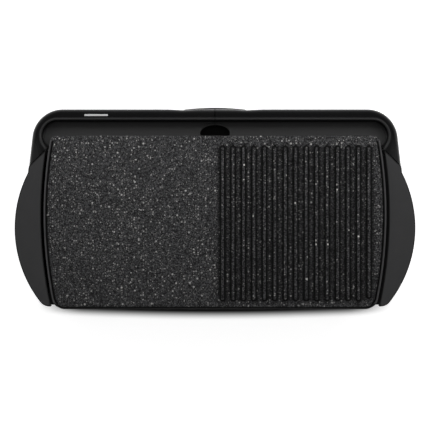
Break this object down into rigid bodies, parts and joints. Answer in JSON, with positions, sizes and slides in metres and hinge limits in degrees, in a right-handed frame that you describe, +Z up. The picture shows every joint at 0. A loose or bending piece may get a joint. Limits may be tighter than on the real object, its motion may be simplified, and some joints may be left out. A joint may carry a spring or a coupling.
{
  "type": "electric griddle",
  "caption": "Table-top electric griddle: half flat, half ribbed stone-look plate, wing handles, front fat gutter and pull-out drip tray.",
  "frame": {"origin": "on the table under the middle of the griddle's box", "axes": "+Z up, -Y to the front where the gutter and drip tray are, +X to the user's right (the flat half)"},
  "size_m": [0.56, 0.283, 0.081],
  "materials": {
    "stone_coating": "speckled stone-look non-stick coating on cast aluminium",
    "gloss_black": "polished black moulding",
    "matte_black": "fine matte texture",
    "satin_black": "satin moulding",
    "element_steel": "heat-tinted steel sheath",
    "zinc_steel": "zinc plated",
    "pin_steel": "nickel plated",
    "guard_steel": "pressed steel",
    "insulator": "unglazed",
    "reflector_sheet": "aluminised sheet",
    "heatproof_pad": "moulded phenolic",
    "foot_rubber": "matte",
    "pale_print": "plain pale strip"
  },
  "bodies": {
    "frame": {"front_frame_left": "gloss_black", "front_frame_right": "gloss_black", "side_arm_left": "satin_black", "side_arm_right": "satin_black", "arm_screws": "zinc_steel", "handle_cover_left": "matte_black", "handle_cover_right": "matte_black", "handle_screws": "zinc_steel", "rear_crossbar": "gloss_black", "crossbar_screws": "zinc_steel", "tray_carrier": "satin_black", "carrier_screws": "zinc_steel", "heat_reflector": "reflector_sheet", "reflector_screws": "zinc_steel", "plate_rests": "heatproof_pad", "leg_front_left": "satin_black", "leg_front_right": "satin_black", "leg_rear_left": "satin_black", "leg_rear_right": "satin_black", "leg_screws": "zinc_steel", "rubber_feet": "foot_rubber", "name_strip": "pale_print"},
    "plate": {"cooking_plate": "stone_coating", "heating_element": "element_steel", "element_clamps": "zinc_steel", "clamp_screws": "zinc_steel", "contact_pins": "pin_steel", "pin_insulators": "insulator", "probe_guide": "element_steel", "socket_guard": "guard_steel", "guard_screws": "zinc_steel"},
    "tray": {"drip_tray": "gloss_black"}
  },
  "joints": [
    {"name": "plate_lift", "type": "slide", "parent": "frame", "child": "plate", "axis": [0, 0, 1], "range_m": [0, 0.06]},
    {"name": "tray_slide", "type": "slide", "parent": "frame", "child": "tray", "axis": [0, -1, 0], "range_m": [0, 0.08]}
  ]
}
